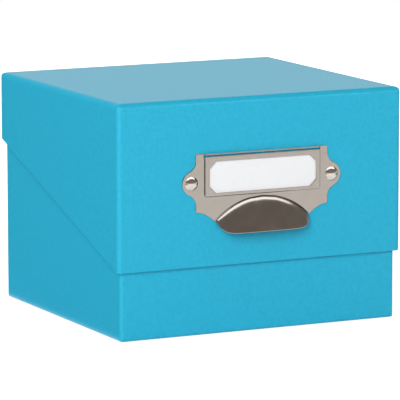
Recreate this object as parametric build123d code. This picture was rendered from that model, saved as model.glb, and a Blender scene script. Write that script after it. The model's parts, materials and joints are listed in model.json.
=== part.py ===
from build123d import *
import math
import os

# A paper-covered board box for photographic prints, with a lift-off lid that has a long front flap.
# A pressed metal label holder with a finger pull is riveted to the flap, and a card slides into it.
# Millimetres. +Z is up, +X runs along the front, and -Y is the side of the label holder.
# The origin is the centre of the face that the box stands on.

# Whole box
LID_WIDTH = 190.0
LID_DEPTH = 175.0
BOX_HEIGHT = 143.0
FRONT_DROP = 101.0
REAR_DROP = 42.0

# Board, paper and tape
BOARD_T = 1.8
COVER_T = 0.2
LINING_T = 0.15
TAPE_T = 0.12
BOTTOM_SHEET_T = 0.2
LID_FOLD_R = 3.5
LID_CORNER_R = 2.7
BASE_FOLD_R = 2.0
BASE_CORNER_R = 2.3
TURN_IN = 16.0
LINING_BELOW_RIM = 5.0
UNDERSIDE_MARGIN = 15.0
BOTTOM_SHEET_INSET = 3.0
TAPE_LEG = 12.0
TAPE_END_GAP = 3.0

# Play between the lid and the base, on each side
LID_GAP = 0.25

# Label holder: one pressed sheet, set out from the line through the two rivets
RIVET_LINE_DROP = 50.2
HOLDER_T = 0.8
HOLDER_W = 88.4
HOLDER_ABOVE = 17.6
HOLDER_BELOW = 17.5
EAR_OUT = 1.4
EAR_R = 7.6
EAR_NOTCH_R = 7.0
FRAME_W = 77.6
FRAME_H = 24.3
FRAME_DOWN = 1.8
FRAME_CORNER_R = 1.4
FRAME_EDGE_R = 0.9
FRAME_SIDE_BAR = 3.05
FRAME_LOW_BAR = 2.2
FRAME_TOP_BAR = 3.1
WINDOW_CORNER_CUT = 4.3
SLIT_H = 0.9

# Finger pull, pressed out of the same sheet
PULL_W = 62.4
PULL_DOWN = 1.4
ARCH_RISE = 12.9
RIM_DIP = 6.1
PULL_END_H = 1.6
PULL_REACH = 10.0
PULL_END_REACH = 1.1
PULL_ROOT = 0.1
SKIRT_BULGE = 1.45
RIM_DIP_POWER = 8
REACH_POWER = 4
PULL_STEPS = (0, 6, 12, 19, 27, 36, 45, 54, 63, 72, 81, 90)
PROFILE_STEPS = 8
# Control points of the pull's profile, from the arch to the rim, as shares of its reach and height
PROFILE_CONTROL = ((0.0, 0.0), (0.42, 0.0), (0.62, 0.3), (1.0, 1.0))

# Label card
CARD_T = 0.4
CARD_GAP = 0.1
CARD_SIDE_GAP = 0.3
CARD_SHORT = 1.1

# Rivets
RIVET_OUT = 1.4
RIVET_HEAD_R = 4.25
RIVET_HEAD_H = 2.2
RIVET_SHANK_R = 1.5
RIVET_BACK_R = 4.0
RIVET_BACK_T = 0.6
RIVET_GAP = 0.05

# Length by which a cutting solid runs past what it cuts
PAST = 10.0

WALL_T = COVER_T + BOARD_T
FOLDED_T = WALL_T + COVER_T
STEP = FOLDED_T + LINING_T + LID_GAP
BASE_WIDTH = LID_WIDTH - 2 * STEP
BASE_DEPTH = LID_DEPTH - 2 * STEP
LID_ROOF_Z = BOX_HEIGHT - WALL_T - LINING_T
BASE_HEIGHT = LID_ROOF_Z - BOTTOM_SHEET_T

FLAP_Y = -LID_DEPTH / 2
RIVET_LINE_Z = BOX_HEIGHT - RIVET_LINE_DROP
CARD_BACK = HOLDER_T + CARD_GAP
FRAME_RISE = CARD_BACK + CARD_T + CARD_GAP

# Places on the holder, as distances sideways from its middle and up from the rivets' line
EAR_X = HOLDER_W / 2 + EAR_OUT
RIVET_X = EAR_X + RIVET_OUT
FRAME_TOP = HOLDER_ABOVE - FRAME_DOWN
FRAME_FOOT = FRAME_TOP - FRAME_H
ARCH_TOP = FRAME_FOOT - PULL_DOWN
ARCH_END = ARCH_TOP - ARCH_RISE
RIM_END = ARCH_END - PULL_END_H
RIM_MIDDLE = RIM_END - RIM_DIP
ARCH_R = ((PULL_W / 2) ** 2 + ARCH_RISE**2) / (2 * ARCH_RISE)

# Flat plane of the flap's outer face, with its origin on the rivets' line
FLAP_PLANE = Plane(origin=(0, FLAP_Y, RIVET_LINE_Z), x_dir=(1, 0, 0), z_dir=(0, -1, 0))


def slab(width, depth, low, high):
    """Square-cornered block, centred in plan, between two heights."""
    return Pos(0, 0, (low + high) / 2) * Box(width, depth, high - low)


def corner_block(width, depth, low, high, corner_radius):
    """Block with round upright corners."""
    block = slab(width, depth, low, high)
    return fillet(block.edges().filter_by(Axis.Z), corner_radius)


def folded_block(width, depth, low, high, corner_radius, fold_radius):
    """Block with round upright corners and lower edges rounded to a radius of their own."""
    along = slab(2 * width, depth, low, high)
    across = slab(width, 2 * depth, low, high)
    along = fillet(along.edges().filter_by(Axis.X).group_by(Axis.Z)[0], fold_radius)
    across = fillet(across.edges().filter_by(Axis.Y).group_by(Axis.Z)[0], fold_radius)
    return corner_block(width, depth, low, high, corner_radius) & along & across


def side_block(left, right, near, far, low, high):
    """Block between two limits on each axis."""
    middle = Pos((left + right) / 2, (near + far) / 2, (low + high) / 2)
    return middle * Box(right - left, far - near, high - low)


class Tray:
    """Open tray of glued boards, taped corners, cover paper and lining, standing open side up.

    The front and rear walls may differ in height, and the side walls slope from one to the other.
    """

    def __init__(self, width, depth, front_height, rear_height, corner_radius, fold_radius):
        self.width = width
        self.depth = depth
        self.front_height = front_height
        self.rear_height = rear_height
        self.corner_radius = corner_radius
        self.fold_radius = fold_radius
        self.tall = max(front_height, rear_height) + PAST

    def below_rim(self, drop):
        """Space under the rim, or under a line that runs a given height below it."""
        half = self.depth / 2
        front = self.front_height - drop
        rear = self.rear_height - drop
        outline = Polyline(
            (-half - PAST, -PAST),
            (half + PAST, -PAST),
            (half + PAST, rear),
            (half - WALL_T, rear),
            (-half + WALL_T, front),
            (-half - PAST, front),
            close=True,
        )
        profile = Plane.YZ * make_face(outline)
        return extrude(profile, amount=self.width / 2 + PAST, both=True)

    def hollow(self, inset, low):
        """Space inside the walls, a given distance in from the outer faces."""
        return slab(self.width - 2 * inset, self.depth - 2 * inset, low, self.tall)

    def board_core(self):
        """Filled outer shape of the boards under the cover paper."""
        block = folded_block(
            self.width - 2 * COVER_T,
            self.depth - 2 * COVER_T,
            COVER_T,
            self.tall,
            self.corner_radius - COVER_T,
            self.fold_radius - COVER_T,
        )
        return block & self.below_rim(COVER_T)

    def corner_tapes(self):
        """Strip of paper tape round each upright corner, pressed into the boards."""
        low = max(WALL_T, self.fold_radius) + TAPE_END_GAP
        inset = COVER_T + TAPE_T
        outer = corner_block(
            self.width - 2 * COVER_T,
            self.depth - 2 * COVER_T,
            low,
            self.tall,
            self.corner_radius - COVER_T,
        )
        inner = corner_block(
            self.width - 2 * inset,
            self.depth - 2 * inset,
            low - PAST,
            self.tall + PAST,
            self.corner_radius - inset,
        )
        ring = (outer - inner) & self.below_rim(TAPE_END_GAP)
        tapes = []
        for side in (-1, 1):
            for end in (-1, 1):
                corner = Pos(side * self.width / 2, end * self.depth / 2, 0)
                zone = corner * Box(2 * TAPE_LEG, 2 * TAPE_LEG, 2 * self.tall)
                tapes.append((ring & zone).solid())
        return tapes

    def boards(self):
        """Floor board and the four wall boards, glued edge to face."""
        core = self.board_core()
        half_w = self.width / 2
        half_d = self.depth / 2
        floor = core & slab(self.width, self.depth, 0, WALL_T)
        walls = core - slab(self.width, self.depth, 0, WALL_T) - self.hollow(WALL_T, 0)
        for tape in self.corner_tapes():
            walls = walls - tape
        front_zone = side_block(-half_w, half_w, -half_d, -half_d + WALL_T, 0, self.tall)
        rear_zone = side_block(-half_w, half_w, half_d - WALL_T, half_d, 0, self.tall)
        middle = half_d - WALL_T
        left_zone = side_block(-half_w, -half_w + WALL_T, -middle, middle, 0, self.tall)
        right_zone = side_block(half_w - WALL_T, half_w, -middle, middle, 0, self.tall)
        return {
            "floor": floor,
            "front": walls & front_zone,
            "rear": walls & rear_zone,
            "left": walls & left_zone,
            "right": walls & right_zone,
        }

    def cover_paper(self):
        """Outer paper, folded over the rim and down the inside of the walls."""
        outer = folded_block(
            self.width, self.depth, 0, self.tall, self.corner_radius, self.fold_radius
        )
        outer = outer & self.below_rim(0)
        skin = outer - self.board_core() - self.hollow(FOLDED_T, WALL_T)
        inner_layer = self.hollow(WALL_T, WALL_T) - self.hollow(FOLDED_T, 0)
        inner_layer = (inner_layer & self.below_rim(0)) - self.below_rim(TURN_IN)
        return skin + inner_layer

    def wall_lining(self):
        """Inner paper of the walls: on the boards, and near the rim over the folded cover paper."""
        low = WALL_T + LINING_T
        outside = self.hollow(WALL_T, low) & self.below_rim(TURN_IN)
        outside = outside + (self.hollow(FOLDED_T, low) & self.below_rim(LINING_BELOW_RIM))
        inside = self.hollow(WALL_T + LINING_T, low - PAST) & self.below_rim(TURN_IN + LINING_T)
        inside = inside + self.hollow(FOLDED_T + LINING_T, low - PAST)
        return outside - inside

    def floor_lining(self):
        """Inner paper of the floor."""
        inset = 2 * WALL_T
        return slab(self.width - inset, self.depth - inset, WALL_T, WALL_T + LINING_T)


def rivet_bar(side, back, front, radius):
    """Round bar along a rivet's axis, between two distances in front of the flap's face."""
    centre = FLAP_PLANE * Pos(side * RIVET_X, 0, (back + front) / 2)
    return centre * Cylinder(radius, front - back)


def base_pieces():
    """The lower tray and the paper under its floor."""
    tray = Tray(
        BASE_WIDTH, BASE_DEPTH, BASE_HEIGHT, BASE_HEIGHT, BASE_CORNER_R, BASE_FOLD_R
    )
    boards = tray.boards()
    bare_width = BASE_WIDTH - 2 * UNDERSIDE_MARGIN
    bare_depth = BASE_DEPTH - 2 * UNDERSIDE_MARGIN
    pieces = {
        "base_floor_board": [boards["floor"]],
        "base_front_board": [boards["front"]],
        "base_rear_board": [boards["rear"]],
        "base_left_board": [boards["left"]],
        "base_right_board": [boards["right"]],
        "base_corner_tapes": tray.corner_tapes(),
        "base_cover_paper": [tray.cover_paper() - slab(bare_width, bare_depth, -PAST, COVER_T)],
        "base_wall_lining": [tray.wall_lining()],
        "base_floor_lining": [tray.floor_lining()],
    }
    lift = Pos(0, 0, BOTTOM_SHEET_T)
    lifted = {name: [lift * solid for solid in solids] for name, solids in pieces.items()}
    sheet_width = BASE_WIDTH - 2 * BOTTOM_SHEET_INSET
    sheet_depth = BASE_DEPTH - 2 * BOTTOM_SHEET_INSET
    lifted["base_bottom_sheet"] = [slab(sheet_width, sheet_depth, 0, BOTTOM_SHEET_T)]
    return lifted


def lid_pieces():
    """The lid: a shallower tray turned over, with holes for the rivets through its front wall."""
    tray = Tray(LID_WIDTH, LID_DEPTH, FRONT_DROP, REAR_DROP, LID_CORNER_R, LID_FOLD_R)
    boards = tray.boards()
    pieces = {
        "lid_top_board": [boards["floor"]],
        "lid_front_board": [boards["front"]],
        "lid_rear_board": [boards["rear"]],
        "lid_left_board": [boards["left"]],
        "lid_right_board": [boards["right"]],
        "lid_corner_tapes": tray.corner_tapes(),
        "lid_cover_paper": [tray.cover_paper()],
        "lid_wall_lining": [tray.wall_lining()],
        "lid_top_lining": [tray.floor_lining()],
    }
    raise_up = Pos(0, 0, BOX_HEIGHT)
    turned = {}
    for name, solids in pieces.items():
        turned[name] = [raise_up * mirror(solid, about=Plane.XY) for solid in solids]
    inner_face = -(WALL_T + LINING_T)
    for name in ("lid_cover_paper", "lid_front_board", "lid_wall_lining"):
        wall = turned[name][0]
        for side in (-1, 1):
            wall = wall - rivet_bar(side, inner_face - PAST, PAST, RIVET_SHANK_R + RIVET_GAP)
            recess = inner_face + RIVET_BACK_T
            wall = wall - rivet_bar(side, inner_face - PAST, recess, RIVET_BACK_R + RIVET_GAP)
        turned[name] = [wall]
    return turned


def holder_outline():
    """Face of the flat sheet: a plate with a round ear on each side and a curved skirt by the pull."""
    height = HOLDER_ABOVE + HOLDER_BELOW
    middle = Pos(0, (HOLDER_ABOVE - HOLDER_BELOW) / 2)
    notch_x = HOLDER_W / 2 + EAR_NOTCH_R
    reach = EAR_R + EAR_NOTCH_R
    notch_up = math.sqrt(reach**2 - (notch_x - EAR_X) ** 2)
    touch_x = EAR_X + (notch_x - EAR_X) * EAR_R / reach
    neck = Rectangle(2 * touch_x, 2 * notch_up) & middle * Rectangle(2 * touch_x, height)
    outline = middle * Rectangle(HOLDER_W, height) + neck
    for side in (-1, 1):
        outline = outline + Pos(side * EAR_X, 0) * Circle(EAR_R)
        for up in (-1, 1):
            outline = outline - Pos(side * notch_x, up * notch_up) * Circle(EAR_NOTCH_R)
    corner_x = HOLDER_W / 2
    end_x = PULL_W / 2
    skirt = [
        Line((-corner_x, -HOLDER_BELOW), (corner_x, -HOLDER_BELOW)),
        SagittaArc((corner_x, -HOLDER_BELOW), (end_x, RIM_END), -SKIRT_BULGE),
        Line((end_x, RIM_END), (-end_x, RIM_END)),
        SagittaArc((-end_x, RIM_END), (-corner_x, -HOLDER_BELOW), -SKIRT_BULGE),
    ]
    return outline + make_face(skirt)


def pull_mouth():
    """Face under the arch, where the sheet is pressed forward."""
    disc = Pos(0, ARCH_TOP - ARCH_R) * Circle(ARCH_R - HOLDER_T)
    return disc & Pos(0, RIM_END) * Rectangle(PULL_W, 2 * (ARCH_TOP - RIM_END))


def profile_point(share, reach, high, low):
    """Point on the pull's profile as distance in front of the flap and height."""
    out = 0
    down = 0
    for k, control in enumerate(PROFILE_CONTROL):
        last = len(PROFILE_CONTROL) - 1
        weight = math.comb(last, k) * share**k * (1 - share) ** (last - k)
        out = out + weight * control[0]
        down = down + weight * control[1]
    return (PULL_ROOT + (reach - PULL_ROOT) * out, high - (high - low) * down)


def pull_section(side, share_out, swell):
    """Upright slice through the pressed sheet of the pull, at a share of its half width."""
    x = side * share_out * PULL_W / 2
    reach = PULL_END_REACH + (PULL_REACH - PULL_END_REACH) * swell
    low = RIM_MIDDLE + RIM_DIP * share_out**RIM_DIP_POWER
    high = ARCH_TOP - ARCH_R + math.sqrt(ARCH_R**2 - x**2)
    steps = [k / PROFILE_STEPS for k in range(PROFILE_STEPS + 1)]
    outside = [profile_point(step, reach, high, low) for step in steps]
    inside = [profile_point(step, reach - HOLDER_T, high - HOLDER_T, low) for step in steps]
    outer_line = Spline([(x, FLAP_Y - out, RIVET_LINE_Z + up) for out, up in outside])
    inner_line = Spline([(x, FLAP_Y - out, RIVET_LINE_Z + up) for out, up in reversed(inside)])
    rim = Line(outer_line @ 1, inner_line @ 0)
    root = Line(inner_line @ 1, outer_line @ 0)
    return make_face([outer_line, rim, inner_line, root])


def pull():
    """The pull's pressed sheet, from one end of the arch to the other."""
    stations = []
    for angle in PULL_STEPS:
        share_out = math.sin(math.radians(angle)) ** (2 / REACH_POWER)
        stations.append((share_out, math.cos(math.radians(angle))))
    left = [pull_section(-1, *station) for station in reversed(stations[1:])]
    right = [pull_section(1, *station) for station in stations]
    return loft(left + right)


def raised_frame():
    """Pressed-up frame round the card, filled, with round lower corners and front edges."""
    front = FRAME_RISE + HOLDER_T
    centre = FLAP_PLANE * Pos(0, (FRAME_TOP + FRAME_FOOT) / 2, front / 2)
    frame = centre * Box(FRAME_W, FRAME_H, front)
    low_corners = frame.edges().filter_by(Axis.Y).group_by(Axis.Z)[0]
    frame = fillet(low_corners, FRAME_CORNER_R)
    front_edges = frame.faces().sort_by(Axis.Y)[0].edges()
    top_edge = front_edges.sort_by(Axis.Z)[-1]
    return fillet([edge for edge in front_edges if edge != top_edge], FRAME_EDGE_R)


def label_holder():
    """Label holder: flat sheet, raised frame with its window, slit above the frame, and the pull."""
    plate = extrude(FLAP_PLANE * (holder_outline() - pull_mouth()), amount=HOLDER_T)
    pocket_w = FRAME_W - 2 * HOLDER_T
    pocket_h = FRAME_H - HOLDER_T
    pocket = FLAP_PLANE * Pos(0, FRAME_TOP - pocket_h / 2, FRAME_RISE / 2)
    slit = FLAP_PLANE * Pos(0, FRAME_TOP + SLIT_H / 2, 0)
    window_w = FRAME_W - 2 * FRAME_SIDE_BAR
    window_h = FRAME_H - FRAME_LOW_BAR - FRAME_TOP_BAR
    window_middle = FRAME_FOOT + FRAME_LOW_BAR + window_h / 2
    window = Pos(0, window_middle) * Rectangle(window_w, window_h)
    window = chamfer(window.vertices(), WINDOW_CORNER_CUT)
    holder = plate + raised_frame()
    holder = holder - pocket * Box(pocket_w, pocket_h, FRAME_RISE)
    holder = holder - slit * Box(pocket_w, SLIT_H, 2 * PAST)
    holder = holder - extrude(FLAP_PLANE * window, amount=PAST)
    for side in (-1, 1):
        holder = holder - rivet_bar(side, -PAST, PAST, RIVET_SHANK_R + RIVET_GAP)
    return holder + pull()


def rivet(side):
    """Domed rivet: head on the sheet, shank through the flap, end flush with the lining."""
    ball_r = (RIVET_HEAD_R**2 + RIVET_HEAD_H**2) / (2 * RIVET_HEAD_H)
    top = HOLDER_T + RIVET_HEAD_H
    ball = FLAP_PLANE * Pos(side * RIVET_X, 0, top - ball_r) * Sphere(ball_r)
    head = ball & rivet_bar(side, HOLDER_T, top + PAST, RIVET_HEAD_R + PAST)
    return head + rivet_bar(side, -(WALL_T + LINING_T), top - RIVET_HEAD_H / 2, RIVET_SHANK_R)


def rivet_back(side):
    """Flat ring that the rivet's shank is closed over, let into the inside of the flap."""
    inner_face = -(WALL_T + LINING_T)
    disc = rivet_bar(side, inner_face, inner_face + RIVET_BACK_T, RIVET_BACK_R)
    return disc - rivet_bar(side, inner_face - PAST, PAST, RIVET_SHANK_R + RIVET_GAP)


def label_card():
    """Plain card behind the frame's window, standing on the foot of the frame's pocket."""
    width = FRAME_W - 2 * (HOLDER_T + CARD_SIDE_GAP)
    height = FRAME_H - HOLDER_T - CARD_SHORT
    centre = Pos(0, FRAME_FOOT + HOLDER_T + height / 2, CARD_BACK + CARD_T / 2)
    return FLAP_PLANE * centre * Box(width, height, CARD_T)


def all_pieces():
    """Every separate piece of the box, by name, as a list of solids."""
    pieces = base_pieces()
    pieces.update(lid_pieces())
    pieces["label_holder"] = [label_holder()]
    pieces["rivets"] = [rivet(side) for side in (-1, 1)]
    pieces["rivet_backs"] = [rivet_back(side) for side in (-1, 1)]
    pieces["label_card"] = [label_card()]
    return pieces


os.makedirs("parts", exist_ok=True)
for node, shapes in all_pieces().items():
    solids = [solid for shape in shapes for solid in shape.solids()]
    export_step(Compound(solids), f"parts/{node}.step")
    print(node, "solids", len(solids), "volume", round(sum(solid.volume for solid in solids), 2))
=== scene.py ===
# %% [markdown]
# A paper-covered photo box, dressed in Blender.
# The CAD model comes in as a fixed frame: every board, sheet and rivet has its place already.
# This lesson gives each piece its finish, makes the finely shaped pieces again as smooth meshes,
# and photographs the box in a plain white studio. Lengths are in metres. Only the label holder and
# the rivets are drawn in millimetres, on the flap's own plane, and turned into metres at the end.

import json
import math

import bmesh
import bpy
from mathutils import Euler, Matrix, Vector
from mathutils.geometry import delaunay_2d_cdt

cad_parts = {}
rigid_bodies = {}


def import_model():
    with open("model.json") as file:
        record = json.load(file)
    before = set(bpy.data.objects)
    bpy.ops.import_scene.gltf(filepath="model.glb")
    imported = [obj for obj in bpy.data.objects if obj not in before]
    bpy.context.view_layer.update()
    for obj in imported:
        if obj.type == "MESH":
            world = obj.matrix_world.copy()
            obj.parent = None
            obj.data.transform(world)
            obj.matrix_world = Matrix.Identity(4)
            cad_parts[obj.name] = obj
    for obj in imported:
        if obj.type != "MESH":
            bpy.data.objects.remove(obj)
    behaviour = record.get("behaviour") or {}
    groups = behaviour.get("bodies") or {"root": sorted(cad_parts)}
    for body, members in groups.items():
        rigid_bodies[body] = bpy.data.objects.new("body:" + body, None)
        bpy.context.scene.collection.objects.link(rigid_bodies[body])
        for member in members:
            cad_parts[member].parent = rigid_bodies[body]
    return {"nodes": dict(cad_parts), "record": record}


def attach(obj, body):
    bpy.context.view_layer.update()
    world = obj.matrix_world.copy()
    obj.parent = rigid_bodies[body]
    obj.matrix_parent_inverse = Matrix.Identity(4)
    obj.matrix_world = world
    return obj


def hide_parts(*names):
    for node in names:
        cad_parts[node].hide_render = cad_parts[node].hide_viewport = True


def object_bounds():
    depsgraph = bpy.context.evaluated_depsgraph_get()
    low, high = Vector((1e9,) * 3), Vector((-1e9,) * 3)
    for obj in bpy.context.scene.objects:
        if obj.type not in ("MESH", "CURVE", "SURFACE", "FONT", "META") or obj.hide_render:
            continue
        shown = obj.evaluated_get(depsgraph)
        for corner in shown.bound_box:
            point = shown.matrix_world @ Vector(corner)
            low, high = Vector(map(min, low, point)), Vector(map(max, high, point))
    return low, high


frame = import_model()
cad_low, cad_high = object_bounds()
MM = 0.001
scene = bpy.context.scene
print("box of the frame in mm:", [round(v / MM, 1) for v in cad_high - cad_low])

# %% [markdown]
# The camera. The photograph was taken with a long lens from a good two metres away, so that the
# edges of the box hardly run together. A long lens is copied by its angle of view: the focal length
# and the sensor width only matter as a ratio, so any sensor width will do.

# %% Place the camera
CAMERA_PLACE = (-1.00841, -2.05563, 0.43108)
CAMERA_TURN = (80.9742, 0.0402, -26.1779)
LENS_MM = 336.15
SENSOR_MM = 36.0
SIGHT_END = 30.0

camera_data = bpy.data.cameras.new("photo_camera")
camera_data.lens = LENS_MM
camera_data.sensor_width = SENSOR_MM
camera_data.clip_end = SIGHT_END
camera = bpy.data.objects.new("photo_camera", camera_data)
camera.location = CAMERA_PLACE
camera.rotation_euler = Euler([math.radians(angle) for angle in CAMERA_TURN])
scene.collection.objects.link(camera)
scene.camera = camera
scene.view_settings.view_transform = "Standard"
print("camera distance in m:", round(Vector(CAMERA_PLACE).length, 3))

# %% [markdown]
# Node helpers. A material in Blender is a graph of nodes. Writing every node and link by hand is
# long, so one small helper makes a node with its settings, and one gives a fresh material with its
# shader.

# %% Make nodes with less writing
def add_node(tree, kind, inputs=None, **settings):
    """A node of the given kind; inputs are plain values or sockets of other nodes."""
    node = tree.nodes.new(kind)
    for name, value in settings.items():
        setattr(node, name, value)
    for name, value in (inputs or {}).items():
        if isinstance(value, bpy.types.NodeSocket):
            tree.links.new(value, node.inputs[name])
        else:
            node.inputs[name].default_value = value
    return node


def new_material(name):
    """An empty material with one shader, ready for its finish."""
    material = bpy.data.materials.new(name)
    material.use_nodes = True
    tree = material.node_tree
    shader = tree.nodes["Principled BSDF"]
    return material, tree, shader


print("node names as in Blender", bpy.app.version_string)

# %% [markdown]
# Colour and tooth. Nearly every finish here is made alike: a noise picks the colour from a few
# steps between dark and light, and another noise gives the surface a fine tooth as a bump. A
# painted image could do the same, but it would need unwrapping and would blur when seen close up;
# noise is fixed to the piece and stays sharp.

# %% Colour and roughen by noise
def set_colour_steps(ramp, steps):
    """Gives a colour ramp its steps, each a position and a colour."""
    band = ramp.color_ramp
    while len(band.elements) > 1:
        band.elements.remove(band.elements[-1])
    for k, (position, colour) in enumerate(steps):
        step = band.elements[0] if k == 0 else band.elements.new(position)
        step.position = position
        step.color = (*colour, 1.0)


def grain(tree, size, detail=2.0, roughness=0.5, stretch=None):
    """Noise whose grains are about the given size, fixed to the piece."""
    place = add_node(tree, "ShaderNodeTexCoord").outputs["Object"]
    if stretch:
        place = add_node(tree, "ShaderNodeMapping", {"Vector": place, "Scale": stretch}).outputs[0]
    settings = {"Vector": place, "Scale": 1.0 / size, "Detail": detail, "Roughness": roughness}
    return add_node(tree, "ShaderNodeTexNoise", settings).outputs["Fac"]


def colour_by(tree, shader, noise, steps):
    """Lets a noise choose the shader's colour from the given steps."""
    tint = add_node(tree, "ShaderNodeValToRGB", {"Fac": noise})
    set_colour_steps(tint, steps)
    tree.links.new(tint.outputs["Color"], shader.inputs["Base Color"])


def shades(colour, spread):
    """Two colours round the given one, a share darker and a share lighter."""
    return [v * (1 - spread) for v in colour], [v * (1 + spread) for v in colour]


def add_tooth(tree, shader, noise, strength, depth):
    """Gives the shader a bump of the given depth."""
    settings = {"Height": noise, "Strength": strength, "Distance": depth}
    bump = add_node(tree, "ShaderNodeBump", settings)
    tree.links.new(bump.outputs[0], shader.inputs["Normal"])


print("half grey, a tenth darker and lighter:", shades([0.5], 0.1))

# %% [markdown]
# The studio. The box stands on a large white table, a single four-sided face that keeps the box's
# soft shadow. A curved paper sweep would do as well; here the white of the room takes over where
# the table ends. The table is only staging.

# %% Lay the white table
TABLE_REACH = 1.5
SQUARE = ((-1, -1), (1, -1), (1, 1), (-1, 1))

table_mesh = bpy.data.meshes.new("studio_table")
corners = [(x * TABLE_REACH, y * TABLE_REACH, 0.0) for x, y in SQUARE]
table_mesh.from_pydata(corners, [], [(0, 1, 2, 3)])
studio_table = bpy.data.objects.new("studio_table", table_mesh)
scene.collection.objects.link(studio_table)
print("table reaches in m:", TABLE_REACH)

# %% [markdown]
# The table's finish. A table as white as the photograph's would need so much light that the box
# came out too bright. So it glows a little by itself, but only where the camera looks at it or
# where the metal mirrors it. The light path node tells these rays from the ones that light the
# box.

# %% Make the table glow
TABLE_WHITE = (0.80, 0.80, 0.80)
TABLE_GLOW = 0.72

table_finish, tree, shader = new_material("studio_white")
shader.inputs["Base Color"].default_value = (*TABLE_WHITE, 1.0)
shader.inputs["Roughness"].default_value = 0.9
shader.inputs["Specular IOR Level"].default_value = 0.0
rays = add_node(tree, "ShaderNodeLightPath")
seen = rays.outputs["Is Camera Ray"]
for kind in ("Is Glossy Ray", "Is Transmission Ray"):
    either = {0: seen, 1: rays.outputs[kind]}
    seen = add_node(tree, "ShaderNodeMath", either, operation="MAXIMUM").outputs[0]
glow = add_node(tree, "ShaderNodeMath", {0: seen, 1: TABLE_GLOW}, operation="MULTIPLY")
white_glow = add_node(tree, "ShaderNodeEmission", {"Strength": glow.outputs[0]})
both = add_node(tree, "ShaderNodeAddShader", {0: shader.outputs[0], 1: white_glow.outputs[0]})
tree.links.new(both.outputs[0], tree.nodes["Material Output"].inputs["Surface"])
table_mesh.materials.append(table_finish)
print("table glow:", TABLE_GLOW)

# %% [markdown]
# The room round the table. Bright metal shows whatever stands round it, so the room matters as
# much as the lamps. A white backdrop stands behind the box and ends a little above it; in front
# the room is dim, so the pull turns dark. A picture of a real studio could be used instead, but
# four steps of colour are enough for these few mirrors and can be moved by hand. The world's
# colour follows the height of the direction, and the white rises from the sides towards the back.

# %% Paint the room
BACKDROP_UP = 0.28
BACKDROP_SIDE = -0.15
BACKDROP_FULL = 0.25
ROOM_STEPS = (
    (0.00, (1.00, 1.00, 1.00)),
    (0.02, (0.96, 0.96, 0.96)),
    (0.16, (0.29, 0.26, 0.23)),
    (1.00, (0.27, 0.25, 0.23)),
)
world = bpy.data.worlds.new("studio_room")
world.use_nodes = True
scene.world = world
tree = world.node_tree
direction = add_node(tree, "ShaderNodeTexCoord").outputs["Generated"]
parts = add_node(tree, "ShaderNodeSeparateXYZ", {0: direction})
behind = add_node(
    tree,
    "ShaderNodeMapRange",
    {
        "Value": parts.outputs["Y"],
        "From Min": BACKDROP_SIDE,
        "From Max": BACKDROP_FULL,
        "To Min": 0.0,
        "To Max": BACKDROP_UP,
    },
)
height = add_node(
    tree, "ShaderNodeMath", {0: parts.outputs["Z"], 1: behind.outputs[0]}, operation="SUBTRACT"
)
room = add_node(tree, "ShaderNodeValToRGB", {"Fac": height.outputs[0]})
set_colour_steps(room, ROOM_STEPS)
tree.links.new(room.outputs["Color"], tree.nodes["Background"].inputs["Color"])
print("colour steps of the room:", len(ROOM_STEPS))

# %% [markdown]
# The lamps. A broad soft lamp left of the camera gives the front and the left side their light and
# the flap its thin shadow, and a weaker one behind the box lights the lid. Neither shows in
# reflections. Three more lamps show only there. The wide one overhead draws the bright line along
# the ridge of the pull. A weak one at the front right brightens the fold of the lid, and one at the
# front left the upright corner; stronger ones would glare on the lid when seen from behind.

# %% Hang the lamps
def soft_lamp(name, azimuth, elevation, distance, width, height, watts):
    """A flat lamp that looks at the middle of the box, placed by two angles in degrees."""
    data = bpy.data.lights.new(name, "AREA")
    data.shape = "RECTANGLE"
    data.size = width
    data.size_y = height
    data.energy = watts
    lamp = bpy.data.objects.new(name, data)
    a, e = math.radians(azimuth), math.radians(elevation)
    back = Vector((math.sin(a) * math.cos(e), -math.cos(a) * math.cos(e), math.sin(e)))
    lamp.location = (cad_low + cad_high) / 2 + back * distance
    lamp.rotation_euler = back.to_track_quat("Z", "Y").to_euler()
    scene.collection.objects.link(lamp)
    return lamp


front_lamp = soft_lamp(
    "front_lamp", azimuth=-38, elevation=24, distance=3.0, width=1.5, height=1.5, watts=63.5
)
rear_lamp = soft_lamp(
    "rear_lamp", azimuth=180, elevation=50, distance=3.0, width=1.5, height=1.5, watts=31.0
)
overhead_lamp = soft_lamp(
    "overhead_lamp", azimuth=0, elevation=87, distance=1.2, width=3.0, height=0.95, watts=24.0
)
fold_lamp = soft_lamp(
    "fold_lamp", azimuth=27, elevation=23, distance=1.8, width=0.7, height=0.3, watts=4.0
)
corner_lamp = soft_lamp(
    "corner_lamp", azimuth=-22, elevation=12, distance=1.5, width=0.3, height=0.6, watts=9.0
)
for lamp in (front_lamp, rear_lamp):
    lamp.visible_glossy = False
for lamp in (overhead_lamp, fold_lamp, corner_lamp):
    lamp.visible_diffuse = False
print("lamps:", len(bpy.data.lights))

# %% [markdown]
# Cloths for the reflections. In the photograph the left side keeps its full blue, so nothing bright
# stood behind it there: a black cloth lies on the table and hangs behind. Two grey ones on either
# side put the thin dark lines along the pressed frame. Only reflections see them.

# %% Weave a cloth
WEAVE = 4.0 * MM
WEAVE_SPREAD = 0.2


def cloth(name, shade, points, faces):
    """A matt cloth that shows in reflections only."""
    mesh = bpy.data.meshes.new(name)
    mesh.from_pydata(points, [], faces)
    finish, tree, shader = new_material(name + "_weave")
    dark, light = shades((shade,) * 3, WEAVE_SPREAD)
    colour_by(tree, shader, grain(tree, WEAVE), [(0.3, dark), (0.7, light)])
    shader.inputs["Roughness"].default_value = 0.95
    shader.inputs["Specular IOR Level"].default_value = 0.0
    mesh.materials.append(finish)
    piece = bpy.data.objects.new(name, mesh)
    scene.collection.objects.link(piece)
    piece.visible_camera = False
    piece.visible_diffuse = False
    piece.visible_shadow = False


print("grain of a cloth in mm:", round(WEAVE / MM, 1))

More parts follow.
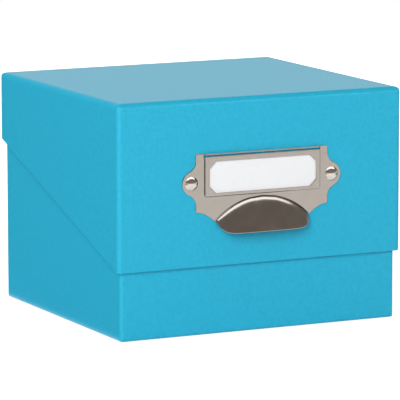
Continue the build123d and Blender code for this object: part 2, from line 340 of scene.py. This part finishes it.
# %% [markdown]
# Where the cloths lie. Each is a few four-sided faces, half a millimetre over the table so that the
# two never share a place. The black one goes up behind the box like a curtain.

# %% Lay the cloths
CLOTH_LIFT = 0.5 * MM
CURTAIN_UP = 1.0
GREY_SHADE = 0.22
BLACK_SHADE = 0.012
SIDES = [
    (-0.35, -0.60), (-0.35, -0.06), (-1.40, -0.06), (-1.40, -0.60),
    (0.35, -0.35), (1.40, -0.35), (1.40, 0.30), (0.35, 0.30),
]
BEHIND = [(-0.096, -0.085), (-0.096, 1.40), (-1.40, 1.40), (-1.40, -0.085)]
lying_grey = [(x, y, CLOTH_LIFT) for x, y in SIDES]
lying_black = [(x, y, CLOTH_LIFT) for x, y in BEHIND]
hanging = [(x, y, CURTAIN_UP) for x, y in BEHIND[1:]]
cloth("grey_cloths", GREY_SHADE, lying_grey, [(0, 1, 2, 3), (4, 5, 6, 7)])
black_faces = [(0, 1, 2, 3), (1, 2, 5, 4), (2, 3, 6, 5)]
cloth("black_cloth", BLACK_SHADE, lying_black + hanging, black_faces)
print("points of the cloths:", len(lying_grey), len(lying_black + hanging))

# %% [markdown]
# The cover paper. A dyed paper is not one flat blue: the dye lies a little unevenly, and its
# surface has a fine tooth. Noise of two sizes gives both. The tooth is a bump of a few hundredths
# of a millimetre, and the unevenness moves the colour by a few percent either way.

# %% Mix the cover paper
PAPER_BLUE = (0.020, 0.446, 0.672)
DYE_SPREAD = 0.06
DYE_CLOUD = 2.2 * MM
PAPER_GRAIN = 0.35 * MM
PAPER_TOOTH = 0.04 * MM

cover_finish, tree, shader = new_material("cover_paper_blue")
cloud = grain(tree, DYE_CLOUD, detail=3.0, roughness=0.6)
dark, light = shades(PAPER_BLUE, DYE_SPREAD)
colour_by(tree, shader, cloud, [(0.3, dark), (0.7, light)])
tooth = grain(tree, PAPER_GRAIN, detail=4.0, roughness=0.65)
add_tooth(tree, shader, tooth, strength=0.35, depth=PAPER_TOOTH)
shader.inputs["Roughness"].default_value = 0.34
shader.inputs["Specular IOR Level"].default_value = 0.22
print("made:", cover_finish.name)

# %% [markdown]
# The white papers: the lining, the sheet under the floor and the label card. All are nearly white
# with a faint cloud in them; the card is smoother and cooler than the lining. One function makes
# both, so that they differ only in the values that they are given.

# %% Mix the white papers
PULP_CLOUD = 3.0 * MM
PULP_GRAIN = 0.3 * MM
LINING_WHITE = (0.82, 0.81, 0.78)
CARD_WHITE = (0.88, 0.90, 0.93)


def white_paper(name, colour, spread, depth, roughness):
    """Nearly white paper with a faint cloud and a fine tooth."""
    material, tree, shader = new_material(name)
    dark, light = shades(colour, spread)
    colour_by(tree, shader, grain(tree, PULP_CLOUD, detail=3.0), [(0.3, dark), (0.7, light)])
    add_tooth(tree, shader, grain(tree, PULP_GRAIN, detail=4.0), strength=0.3, depth=depth)
    shader.inputs["Roughness"].default_value = roughness
    shader.inputs["Specular IOR Level"].default_value = 0.35
    return material


lining_finish = white_paper(
    "lining_paper_white", LINING_WHITE, spread=0.025, depth=0.03 * MM, roughness=0.75
)
card_finish = white_paper("card_white", CARD_WHITE, spread=0.008, depth=0.01 * MM, roughness=0.45)
print("made:", lining_finish.name, card_finish.name)

# %% [markdown]
# The greyboard under the paper and the kraft tape round its corners. They only show where the paper
# ends, and when the pieces are taken apart, but each still gets its own fibre: short dark and light
# flecks in the board, long drawn-out ones in the tape.

# %% Mix the greyboard and the tape
BOARD_STEPS = (
    (0.30, (0.27, 0.25, 0.22)),
    (0.45, (0.40, 0.37, 0.33)),
    (0.60, (0.44, 0.41, 0.36)),
    (0.75, (0.54, 0.51, 0.46)),
)
TAPE_STEPS = ((0.3, (0.58, 0.50, 0.38)), (0.7, (0.80, 0.74, 0.63)))
FLECK = 0.8 * MM
BOARD_TOOTH = 0.05 * MM
FIBRE = 1.0 * MM
FIBRE_STRETCH = (1.0, 1.0, 0.15)

board_finish, tree, shader = new_material("greyboard_raw")
flecks = grain(tree, FLECK, detail=6.0, roughness=0.7)
colour_by(tree, shader, flecks, BOARD_STEPS)
add_tooth(tree, shader, flecks, strength=0.5, depth=BOARD_TOOTH)
shader.inputs["Roughness"].default_value = 0.9

tape_finish, tree, shader = new_material("kraft_tape")
fibres = grain(tree, FIBRE, detail=5.0, roughness=0.6, stretch=FIBRE_STRETCH)
colour_by(tree, shader, fibres, TAPE_STEPS)
shader.inputs["Roughness"].default_value = 0.7
print("made:", board_finish.name, tape_finish.name)

# %% [markdown]
# The nickel. The label holder is pressed from nickel-plated sheet with a satin sheen, and the
# rivets are polished brighter. Metal gets its colour from what it mirrors, so the base colour is
# only the tint of nickel, warm grey, and the roughness says how far the mirror image is blurred.

# %% Mix the nickel
PLATE_CLOUD = 6.0 * MM
PLATE_GRAIN = 0.5 * MM
PLATE_TOOTH = 0.006 * MM
SATIN_TINTS = ((0.34, 0.31, 0.28), (0.37, 0.335, 0.305))
POLISHED_TINTS = ((0.54, 0.50, 0.46), (0.58, 0.54, 0.50))


def nickel(name, tints, roughness_low, roughness_high):
    """Nickel plate whose tint and polish wander a little over the sheet."""
    material, tree, shader = new_material(name)
    shader.inputs["Metallic"].default_value = 1.0
    cloud = grain(tree, PLATE_CLOUD, detail=4.0, roughness=0.6)
    colour_by(tree, shader, cloud, [(0.35, tints[0]), (0.65, tints[1])])
    polish = add_node(
        tree,
        "ShaderNodeMapRange",
        {
            "Value": cloud,
            "From Min": 0.3,
            "From Max": 0.7,
            "To Min": roughness_low,
            "To Max": roughness_high,
        },
    )
    tree.links.new(polish.outputs[0], shader.inputs["Roughness"])
    dents = grain(tree, PLATE_GRAIN, detail=3.0)
    add_tooth(tree, shader, dents, strength=0.08, depth=PLATE_TOOTH)
    return material


plate_finish = nickel("nickel_satin", SATIN_TINTS, roughness_low=0.17, roughness_high=0.23)
rivet_finish = nickel("nickel_polished", POLISHED_TINTS, roughness_low=0.08, roughness_high=0.12)
print("made:", plate_finish.name, rivet_finish.name)

# %% [markdown]
# Handing out the finishes. The record says which material slot each piece of the frame has, so one
# table from slot to finish dresses them all, the hidden ones too.

# %% Dress the pieces of the frame
FINISHES = {
    "greyboard": board_finish,
    "corner_tape": tape_finish,
    "cover_paper": cover_finish,
    "lining_paper": lining_finish,
    "nickel_plate": plate_finish,
    "nickel_rivet": rivet_finish,
    "card": card_finish,
}


def dress(piece, finish):
    """Gives a whole piece one finish."""
    piece.data.materials.clear()
    piece.data.materials.append(finish)


for part in frame["record"]["subparts"]:
    piece = frame["nodes"][part["node"]]
    dress(piece, FINISHES[part["material_slot"]])

# %% [markdown]
# The cover paper as a smooth skin. On the real box one sheet of paper is glued round the boards: it
# runs over the fold at the closed face, down the wall, round the rim and a little way back up the
# inside. All of that is one line, the section, carried round the box. So the sheet is built from
# rows: each row is a rounded rectangle with its own inset, depth and corner radius, and
# neighbouring rows are joined by four-sided faces. Small steps go where the paper bends, none where
# it is flat. A rounded box with a thickness would be quicker, but would have no turned edge.

# %% Draw one row of the paper
CORNER_STEPS = 6


def row_of_corners(half_width, half_depth, radius):
    """Points of a rounded rectangle seen from above, corner by corner."""
    points = []
    for turn, (right, back) in enumerate(((1, -1), (1, 1), (-1, 1), (-1, -1))):
        middle = (right * (half_width - radius), back * (half_depth - radius))
        for step in range(CORNER_STEPS + 1):
            angle = math.radians(90 * (turn - 1 + step / CORNER_STEPS))
            points.append(
                (middle[0] + radius * math.cos(angle), middle[1] + radius * math.sin(angle))
            )
    return points


print("points in a row:", 4 * (CORNER_STEPS + 1))

# %% [markdown]
# The section of the sheet. The numbers are those of the CAD model, with the rim's sharp edges
# eased to the small radius that a wet, rubbed-down paper takes. A depth is counted from the closed
# face, or back from the rim where the rim is nearer; the lid's rim slopes, so it is worked out
# point by point. Over the fold at the closed face the corner's radius closes quickly, as a folded
# corner does.

# %% Write the section
PAPER_T = 0.2 * MM
FOLDED_T = 2.2 * MM
TURN_IN = 16 * MM
RIM_EASE = 0.45 * MM
LEAST_CORNER = 0.2 * MM
INNER_CORNER = 0.3 * MM
CORNER_CLOSING = 3
FOLD_STEPS = 8
EASE_STEPS = 4


def quarter(steps):
    """Angles from 0 to a quarter turn."""
    return [math.pi / 2 * k / steps for k in range(steps + 1)]


def paper_section(fold, corner):
    """Rows of the closed sheet: inset, depth, counted from the rim or not, and corner radius."""
    rows = []
    for angle in quarter(FOLD_STEPS):
        inset = fold * (1 - math.sin(angle))
        eased = max(corner - CORNER_CLOSING * inset, LEAST_CORNER)
        rows.append((inset, fold * (1 - math.cos(angle)), False, eased))
    for angle in quarter(EASE_STEPS):
        inset = RIM_EASE * (1 - math.cos(angle))
        rows.append((inset, RIM_EASE * (1 - math.sin(angle)), True, corner - inset))
    for angle in quarter(EASE_STEPS):
        inset = FOLDED_T - RIM_EASE * (1 - math.sin(angle))
        rows.append((inset, RIM_EASE * (1 - math.cos(angle)), True, INNER_CORNER))
    rows.append((FOLDED_T, TURN_IN, True, INNER_CORNER))
    rows.append((FOLDED_T - PAPER_T, TURN_IN, True, INNER_CORNER))
    rows.append((FOLDED_T - PAPER_T, PAPER_T, True, INNER_CORNER))
    rows.append((PAPER_T, PAPER_T, True, corner - PAPER_T))
    for angle in reversed(quarter(FOLD_STEPS)):
        inset = PAPER_T + (fold - PAPER_T) * (1 - math.sin(angle))
        depth = PAPER_T + (fold - PAPER_T) * (1 - math.cos(angle))
        eased = max(corner - PAPER_T - CORNER_CLOSING * (inset - PAPER_T), LEAST_CORNER)
        rows.append((inset, depth, False, eased))
    return rows


print("turned edge in mm:", round(TURN_IN / MM, 1))

# %% [markdown]
# From a built mesh to a piece. bmesh is Blender's tool for building a mesh point by point. Every
# mesh here ends alike: its faces are turned outwards and shaded smooth, apart from edges sharper
# than a given angle. A weighted normal then lets the large faces rule the shading.

# %% Turn a built mesh into a piece
FLAT_RULE = 90


def finish_mesh(name, work, sharp_angle):
    """Turns the finished bmesh into a smooth-shaded object in the scene."""
    bmesh.ops.recalc_face_normals(work, faces=work.faces)
    mesh = bpy.data.meshes.new(name)
    work.to_mesh(mesh)
    work.free()
    for face in mesh.polygons:
        face.use_smooth = True
    mesh.set_sharp_from_angle(angle=math.radians(sharp_angle))
    piece = bpy.data.objects.new(name, mesh)
    scene.collection.objects.link(piece)
    return piece


def even_shading(piece):
    """Lets the large flat faces rule the shading, so that they stay flat up to their bends."""
    weighted = piece.modifiers.new("even_shading", "WEIGHTED_NORMAL")
    weighted.keep_sharp = True
    weighted.weight = FLAT_RULE


print("weight of the large faces:", FLAT_RULE)

# %% [markdown]
# From rows to a wrap. The same function makes the lid, closed on top, and the tray, closed below
# but open in the middle of its underside, where the real paper stops short too.

# %% Wrap a box in paper
WRAP_SHARP = 50


def wrap(name, size, closed_z, upwards, rim_depth, rows, capped):
    """The cover paper of one half of the box; rim_depth gives the wall's height at each y."""
    work = bmesh.new()
    loops = []
    for inset, depth, from_rim, corner in rows:
        loop = []
        for x, y in row_of_corners(size[0] / 2 - inset, size[1] / 2 - inset, corner):
            down = rim_depth(y) - depth if from_rim else depth
            loop.append(work.verts.new((x, y, closed_z + upwards * down)))
        loops.append(loop)
    count = len(loops[0])
    pairs = list(zip(loops, loops[1:]))
    if capped:
        work.faces.new(loops[0])
        work.faces.new(loops[-1])
    else:
        pairs.append((loops[-1], loops[0]))
    for first, second in pairs:
        for k in range(count):
            after = (k + 1) % count
            work.faces.new((first[k], first[after], second[after], second[k]))
    piece = finish_mesh(name, work, WRAP_SHARP)
    even_shading(piece)
    return piece


print("paper edges kept sharp over degrees:", WRAP_SHARP)

# %% [markdown]
# The lid's paper. Its side walls slope from the long front flap to the short rear wall, so its rim
# depth is a straight line between the two.

# %% Wrap the lid
LID_SIZE = (190 * MM, 175 * MM)
BOX_HEIGHT = 143 * MM
FRONT_DROP = 101 * MM
REAR_DROP = 42 * MM
WALL_T = 2 * MM
LID_FOLD = 3.6 * MM
LID_CORNER = 2.6 * MM


def lid_rim_depth(y):
    """Depth of the lid's wall under the lid's top, from the front flap to the rear wall."""
    half = LID_SIZE[1] / 2 - WALL_T
    share = min(max((y + half) / (2 * half), 0.0), 1.0)
    return FRONT_DROP + (REAR_DROP - FRONT_DROP) * share


lid_rows = paper_section(LID_FOLD, LID_CORNER)
lid_wrap = wrap("lid_wrap", LID_SIZE, BOX_HEIGHT, -1, lid_rim_depth, lid_rows, True)
dress(lid_wrap, cover_finish)
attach(lid_wrap, "lid")
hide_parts("lid_cover_paper")
print("lid wrap faces:", len(lid_wrap.data.polygons))

# %% [markdown]
# The tray's paper. It is the same section the other way up, with a level rim. Below, it ends a
# little way under the floor, where a sheet covers its edge, so one row more closes it there instead
# of a face over the whole floor.

# %% Wrap the tray
TRAY_SIZE = (184.8 * MM, 169.8 * MM)
SHEET_T = 0.2 * MM
TRAY_HEIGHT = 140.65 * MM
BARE_MARGIN = 15 * MM
TRAY_FOLD = 2.1 * MM
TRAY_CORNER = 2.2 * MM


def tray_rim_depth(y):
    """Height of the tray's walls, the same at every y."""
    return TRAY_HEIGHT


tray_rows = [(BARE_MARGIN, 0, False, INNER_CORNER)]
tray_rows += paper_section(TRAY_FOLD, TRAY_CORNER)
tray_rows.append((BARE_MARGIN, PAPER_T, False, INNER_CORNER))
tray_wrap = wrap("tray_wrap", TRAY_SIZE, SHEET_T, 1, tray_rim_depth, tray_rows, False)
dress(tray_wrap, cover_finish)
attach(tray_wrap, "base")
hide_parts("base_cover_paper")
print("tray wrap faces:", len(tray_wrap.data.polygons))

# %% [markdown]
# The label holder. The real one is a single blank of sheet metal: its outline and window are
# punched, the frame round the card is pressed forward, and the finger pull is drawn out under an
# arch. The mesh is made the same way, as one unbroken skin that is given its thickness last.
# Places on it are (x, up, out): sideways from its middle, up from the rivets, out from the flap.

# %% Put a point of the holder in the box's frame
FLAP_FACE = -87.5
RIVETS_UP = 92.8


def on_flap(x, up, out):
    """World place of a point of the holder, given in millimetres."""
    return Vector((x, FLAP_FACE - out, RIVETS_UP + up)) * MM


def arc(centre, radius, start, end, steps, ends=True):
    """Points along a circle in the flap's plane, between two angles in degrees."""
    places = [start + (end - start) * k / steps for k in range(steps + 1)]
    if not ends:
        places = places[1:-1]
    return [
        (
            centre[0] + radius * math.cos(math.radians(a)),
            centre[1] + radius * math.sin(math.radians(a)),
        )
        for a in places
    ]


print("rivets over the floor in mm:", RIVETS_UP)

# %% [markdown]
# The outline. Each side has a round ear for its rivet, with a hollow curve above and below it, and
# a hollow skirt that runs to the end of the pull. A drawn curve would do too, but arcs and lines
# given by numbers are easier to change. Only the right half is worked out; the left is its mirror
# image. The top edge has a few points more at the end of the slit, where the lip steps forward.

# %% Draw the outline of the blank
PLATE_HALF = 44.2
PLATE_TOP = 17.6
PLATE_FOOT = -17.5
EAR = (45.6, 0.0)
EAR_R = 7.6
NOTCH_X = 51.2
NOTCH_R = 7.0
NOTCH_UP = 13.48
TOUCH_ANGLE = 67.44
PULL_HALF = 31.2
RIM_END = -24.4
SKIRT_BULGE = 1.45
LIP_STATIONS = (38.1, 38.5, 38.8, 39.15)
CURVE_STEPS = 12


def skirt_points(steps):
    """Hollow curve from the plate's lower corner to the end of the pull."""
    (x0, u0), (x1, u1) = (PLATE_HALF, PLATE_FOOT), (PULL_HALF, RIM_END)
    run = math.hypot(x1 - x0, u1 - u0)
    inward = ((u1 - u0) / run, -(x1 - x0) / run)
    points = []
    for k in range(1, steps):
        share = k / steps
        bow = 4 * share * (1 - share) * SKIRT_BULGE
        points.append(
            (x0 + (x1 - x0) * share + inward[0] * bow, u0 + (u1 - u0) * share + inward[1] * bow)
        )
    return points


def right_outline():
    """Right half of the outline, from the top down to the end of the pull."""
    notch = (NOTCH_X, NOTCH_UP)
    low_notch = (NOTCH_X, -NOTCH_UP)
    points = [(x, PLATE_TOP) for x in LIP_STATIONS] + [(PLATE_HALF, PLATE_TOP)]
    points += arc(notch, NOTCH_R, 180, 180 + TOUCH_ANGLE, CURVE_STEPS)
    points += arc(EAR, EAR_R, TOUCH_ANGLE, -TOUCH_ANGLE, 2 * CURVE_STEPS, ends=False)
    points += arc(low_notch, NOTCH_R, 180 - TOUCH_ANGLE, 180, CURVE_STEPS)
    points.append((PLATE_HALF, PLATE_FOOT))
    points += skirt_points(CURVE_STEPS)
    points.append((PULL_HALF, RIM_END))
    return points


print("points on half of the outline:", len(right_outline()))

# %% [markdown]
# The finger pull, column by column. A die draws the real one out of the sheet. A coarse cage made
# smooth by subdivision would look alike, but columns put the ridge and the rim exactly where they
# belong. Every column is an upright curve that starts at the arch, runs out and bends down to the
# rim. The columns stand close together near the ends, where the pull turns back to the plate. A
# few beside each end are left out, though: they would stand closer than the rounding of the cut
# edges is wide, and the rounding would throw up spikes there. Where the arch meets the plate the
# metal bends through a small radius.

# %% Work out the columns of the pull
PLATE_OUT = 0.8
PULL_OUT = 10.0
RIM_MIDDLE = -30.5
RIM_LEVEL = 12
ARCH_TOP = -9.9
ARCH_R = 44.18
COLUMN_STEPS = 22
END_SKIP = 3
DRAW_RADIUS = 0.25
DRAW_FADE = 1.6
DRAW_STEPS = 4
DROP_STEPS = 26
PULL_CONTROL = ((0.0, 0.0), (0.36, 0.10), (0.62, 0.3), (1.0, 1.0))


def pull_stations():
    """Sideways share and swell of every column, from the left end to the right."""
    stations = []
    for k in range(-COLUMN_STEPS, COLUMN_STEPS + 1):
        if COLUMN_STEPS - END_SKIP <= abs(k) < COLUMN_STEPS:
            continue
        angle = math.radians(90 * abs(k) / COLUMN_STEPS)
        stations.append((math.copysign(math.sqrt(math.sin(angle)), k), math.cos(angle)))
    return stations


def arch_height(x):
    """Height of the arch at a sideways place."""
    return ARCH_TOP - ARCH_R + math.sqrt(ARCH_R**2 - x**2)


def pull_column(share, swell):
    """Points of one column, from the plate over the ridge to the rim."""
    x = share * PULL_HALF
    reach = PLATE_OUT + (PULL_OUT - PLATE_OUT) * swell
    rim = RIM_MIDDLE + (RIM_END - RIM_MIDDLE) * share**RIM_LEVEL
    radius = DRAW_RADIUS * min(1.0, DRAW_FADE * swell)
    lean = x / ARCH_R
    points = []
    for angle in quarter(DRAW_STEPS):
        away = radius * (1 - math.sin(angle))
        side = x + away * lean
        up = arch_height(x) + away * math.sqrt(1 - lean**2)
        points.append((side, up, PLATE_OUT + radius * (1 - math.cos(angle))))
    start = PLATE_OUT + radius
    for k in range(1, DROP_STEPS + 1):
        t = k / DROP_STEPS
        weights = ((1 - t) ** 3, 3 * t * (1 - t) ** 2, 3 * t**2 * (1 - t), t**3)
        out = sum(w * c[0] for w, c in zip(weights, PULL_CONTROL))
        down = sum(w * c[1] for w, c in zip(weights, PULL_CONTROL))
        low = arch_height(x) - rim
        points.append((x, arch_height(x) - low * down, start + (max(reach, start) - start) * out))
    return points


pull_columns = [pull_column(*station) for station in pull_stations()]
print("columns of the pull:", len(pull_columns), "points each:", len(pull_columns[0]))

# %% [markdown]
# The pressed frame. Its wall is a strip carried round three sides: out of the plate through a small
# hollow radius, straight forward, and over a larger round shoulder. The fourth side is open: there
# a slit parts the frame from the top of the plate, and the card goes in.

# %% Work out the wall of the frame
FRAME_HALF = 38.8
FRAME_TOP = 15.8
FRAME_FOOT = -8.5
FRAME_CORNER = 1.4
FRAME_OUT = 2.2
FOOT_R = 0.35
SHOULDER_R = 0.85
SLIT_TOP = 16.7
END_RUN = 2
BEND_STEPS = 4
TURN_STEPS = 6


def frame_path(offset):
    """Line round three sides of the frame, a given distance outside its wall."""
    half = FRAME_HALF + offset
    foot = FRAME_FOOT - offset
    radius = FRAME_CORNER + offset
    points = [(-half, FRAME_TOP), (-half, FRAME_TOP - END_RUN)]
    points += arc((-half + radius, foot + radius), radius, 180, 270, TURN_STEPS)
    points += arc((half - radius, foot + radius), radius, 270, 360, TURN_STEPS)
    points += [(half, FRAME_TOP - END_RUN), (half, FRAME_TOP)]
    return points


def frame_wall():
    """Rows of the frame's wall, from the plate to the frame's face."""
    rows = []
    for angle in quarter(BEND_STEPS):
        offset = FOOT_R * (1 - math.sin(angle))
        out = PLATE_OUT + FOOT_R * (1 - math.cos(angle))
        rows.append([(x, up, out) for x, up in frame_path(offset)])
    for angle in quarter(BEND_STEPS):
        offset = -SHOULDER_R * (1 - math.cos(angle))
        out = FRAME_OUT - SHOULDER_R * (1 - math.sin(angle))
        rows.append([(x, up, out) for x, up in frame_path(offset)])
    return rows


wall_rows = frame_wall()
print("rows of the frame's wall:", len(wall_rows))

# %% [markdown]
# Flat areas with holes. Triangulating an outline with holes by hand is tedious, and Blender has a
# constrained Delaunay routine for it: it joins the given points into triangles that keep the given
# edges. Triangles that fall in a hole or outside the outline are then left out.

# %% Fill a flat area between its outlines
NEAR = 1e-5


def inside(point, outline):
    """Whether a point lies inside a closed outline."""
    x, y = point
    within = False
    for (x0, y0), (x1, y1) in zip(outline, outline[1:] + outline[:1]):
        if (y0 > y) != (y1 > y) and x < x0 + (y - y0) * (x1 - x0) / (y1 - y0):
            within = not within
    return within


def fill_flat(work, outline, holes, out):
    """Adds the triangles of a flat area with holes to the mesh."""
    points = []
    edges = []
    for loop in [outline] + holes:
        first = len(points)
        points += loop
        edges += [(first + k, first + (k + 1) % len(loop)) for k in range(len(loop))]
    flat = [Vector(point) for point in points]
    found = delaunay_2d_cdt(flat, edges, [], 0, NEAR)
    verts = [work.verts.new(on_flap(v.x, v.y, out)) for v in found[0]]
    for triangle in found[2]:
        middle = sum((found[0][k] for k in triangle), Vector((0.0, 0.0))) / 3
        if inside(middle, outline) and not any(inside(middle, hole) for hole in holes):
            work.faces.new([verts[k] for k in triangle])


def fill_strip(work, rows):
    """Adds the four-sided faces between neighbouring rows of points."""
    made = [[work.verts.new(on_flap(*point)) for point in row] for row in rows]
    for first, second in zip(made, made[1:]):
        for k in range(len(first) - 1):
            work.faces.new((first[k], first[k + 1], second[k + 1], second[k]))


print("middle of a square lies inside it:", inside((0, 0), list(SQUARE)))

# %% [markdown]
# The openings of the blank. The plate runs up to the foot of the frame and to the start of the
# arch, so its outline takes over the arch and the ends of the pull from the columns. The frame's
# face has the window with its four cut corners, and each ear a hole for the rivet's shank.

# %% Close the outlines
RIVET_X = 47.0
SHANK_HOLE_R = 1.55
HOLE_STEPS = 24
WINDOW_HALF = 35.75
WINDOW_LOW = -6.3
WINDOW_HIGH = 12.7
WINDOW_CUT = 4.3


def plate_outline():
    """Whole outline of the plate, down one side, along the arch and up the other."""
    right = right_outline()
    end = [(x, up) for x, up, out in pull_columns[-1]]
    arch = [(column[0][0], column[0][1]) for column in reversed(pull_columns)]
    left = [(-x, up) for x, up in reversed(right)]
    left_end = [(-x, up) for x, up in end]
    return right[:-1] + list(reversed(end)) + arch[1:-1] + left_end + left[1:]


def window_outline():
    """Window with its four corners cut."""
    w, low, high, cut = WINDOW_HALF, WINDOW_LOW, WINDOW_HIGH, WINDOW_CUT
    return [
        (-w, low + cut), (-w + cut, low), (w - cut, low), (w, low + cut),
        (w, high - cut), (w - cut, high), (-w + cut, high), (-w, high - cut),
    ]


def rivet_hole(side):
    """Hole in the ear on one side, without its last point, which would lie on the first."""
    last = 360 - 360 / HOLE_STEPS
    return arc((side * RIVET_X, 0.0), SHANK_HOLE_R, 0, last, HOLE_STEPS - 1)


print("points on the whole outline:", len(plate_outline()))

# %% [markdown]
# Joining the blank. Plate, frame and pull are filled one after the other, and points that lie on
# each other are welded, so that the whole holder becomes one skin. The narrow lip over the slit
# stands level with the frame, so that the card slides up behind it. It is easiest to fill it flat
# with the plate and to move its points forward afterwards.

# %% Join the blank
WELD = 0.002 * MM
LIP_OUT = 1.4
SLACK = 0.01
ALL_SMOOTH = 180

work = bmesh.new()
foot_path = [(x, up) for x, up, out in wall_rows[0]]
slit = [(x, SLIT_TOP) for x in reversed(LIP_STATIONS)] + [(-x, SLIT_TOP) for x in LIP_STATIONS]
holes = [foot_path + slit, rivet_hole(-1), rivet_hole(1)]
fill_flat(work, plate_outline(), holes, PLATE_OUT)
fill_strip(work, wall_rows)
fill_flat(work, [(x, up) for x, up, out in wall_rows[-1]], [window_outline()], FRAME_OUT)
fill_strip(work, list(zip(*pull_columns)))
bmesh.ops.remove_doubles(work, verts=work.verts, dist=WELD)
for vert in work.verts:
    across, up = abs(vert.co.x) / MM, vert.co.z / MM - RIVETS_UP
    if SLIT_TOP - SLACK < up and across < LIP_STATIONS[-1]:
        ramp = min((LIP_STATIONS[-1] - across) / (LIP_STATIONS[-1] - LIP_STATIONS[0]), 1.0)
        vert.co.y -= LIP_OUT * MM * ramp
holder_plate = finish_mesh("holder_plate", work, ALL_SMOOTH)
print("holder skin:", len(holder_plate.data.vertices), "points")

# %% [markdown]
# Thickness and rounded edges. The skin is the front of the sheet. Solidify gives it its 0.8 mm
# towards the box, and Bevel rounds the punched edges as tumbling does. Bevel normally holds the
# rounding back where points stand close together, for the whole mesh at once; that is switched off,
# or the edges would stay sharp.

# %% Give the holder its thickness and round its cut edges
HOLDER_T = 0.8 * MM
CUT_EDGE_R = 0.3 * MM
CUT_EDGE_ANGLE = 50

if holder_plate.data.polygons[0].normal.y > 0:
    holder_plate.data.flip_normals()
thickness = holder_plate.modifiers.new("sheet_thickness", "SOLIDIFY")
thickness.thickness = HOLDER_T
thickness.offset = -1.0
rounded = holder_plate.modifiers.new("tumbled_edges", "BEVEL")
rounded.width = CUT_EDGE_R
rounded.segments = 3
rounded.limit_method = "ANGLE"
rounded.angle_limit = math.radians(CUT_EDGE_ANGLE)
rounded.use_clamp_overlap = False
even_shading(holder_plate)
dress(holder_plate, plate_finish)
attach(holder_plate, "lid")
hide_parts("label_holder")
print("sheet and edge radius in mm:", HOLDER_T / MM, round(CUT_EDGE_R / MM, 2))

# %% [markdown]
# The rivets. A rivet is round, so it is a line turned about its axis: down the dome, in under the
# head, down the shank and across its end. The dome is part of a ball, and many narrow rings keep
# the mirror image on it smooth. A ball and a rod joined by a boolean would also do, but would leave
# long thin faces where they meet.

# %% Draw half of a rivet
HEAD_R = 4.25
HEAD_H = 2.2
SHANK_R = 1.5
SHANK_END = -2.15
BALL_R = (HEAD_R**2 + HEAD_H**2) / (2 * HEAD_H)
DOME_RINGS = 14


def rivet_line():
    """Half section of a rivet as (radius, out), from the crown of the head to the shank's end."""
    crown = PLATE_OUT + HEAD_H
    widest = math.asin(HEAD_R / BALL_R)
    line = []
    for k in range(1, DOME_RINGS + 1):
        angle = widest * k / DOME_RINGS
        line.append((BALL_R * math.sin(angle), crown - BALL_R * (1 - math.cos(angle))))
    return line + [(SHANK_R, PLATE_OUT), (SHANK_R, SHANK_END)]


print("points on a rivet's line:", len(rivet_line()))

# %% [markdown]
# Turning the line. Each point of the line becomes a ring, and neighbouring rings are joined by
# four-sided faces, with triangles round the crown and one face across the shank's end. Both rivets
# are one piece, as they are in the frame.

# %% Turn the rivets
ROUND_STEPS = 48
RIVET_SHARP = 40


def turn(work, centre_x, line, crown):
    """Adds the body that a line makes when it is turned about a rivet's axis."""
    rings = []
    for radius, out in line:
        ring = []
        for k in range(ROUND_STEPS):
            angle = 2 * math.pi * k / ROUND_STEPS
            place = on_flap(centre_x + radius * math.cos(angle), radius * math.sin(angle), out)
            ring.append(work.verts.new(place))
        rings.append(ring)
    top = work.verts.new(on_flap(centre_x, 0, crown))
    for k in range(ROUND_STEPS):
        after = (k + 1) % ROUND_STEPS
        work.faces.new((top, rings[0][k], rings[0][after]))
        for first, second in zip(rings, rings[1:]):
            work.faces.new((first[k], first[after], second[after], second[k]))
    work.faces.new(rings[-1])


work = bmesh.new()
for side in (-1, 1):
    turn(work, side * RIVET_X, rivet_line(), PLATE_OUT + HEAD_H)
rivet_pair = finish_mesh("rivet_pair", work, RIVET_SHARP)
dress(rivet_pair, rivet_finish)
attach(rivet_pair, "lid")
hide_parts("rivets")
print("rivet faces:", len(rivet_pair.data.polygons))

# %% [markdown]
# Lamps for some pieces only. A bright lamp overhead suits the metal and would grey the paper, and
# the two lamps for the paper's folds would put hard spots on the metal. So each of the three
# reflection lamps gets a collection with the pieces that it may light.

# %% Aim the reflection lamps
def light_only(lamp, pieces):
    """Lets a lamp reach only the given pieces."""
    reached = bpy.data.collections.new("reached_by_" + lamp.name)
    for piece in pieces:
        reached.objects.link(piece)
    lamp.light_linking.receiver_collection = reached


light_only(overhead_lamp, [holder_plate, rivet_pair])
light_only(fold_lamp, [lid_wrap, tray_wrap])
light_only(corner_lamp, [lid_wrap, tray_wrap])
for lamp in (overhead_lamp, fold_lamp, corner_lamp):
    lit = lamp.light_linking.receiver_collection.objects
    print(lamp.name, "lights only", [piece.name for piece in lit])
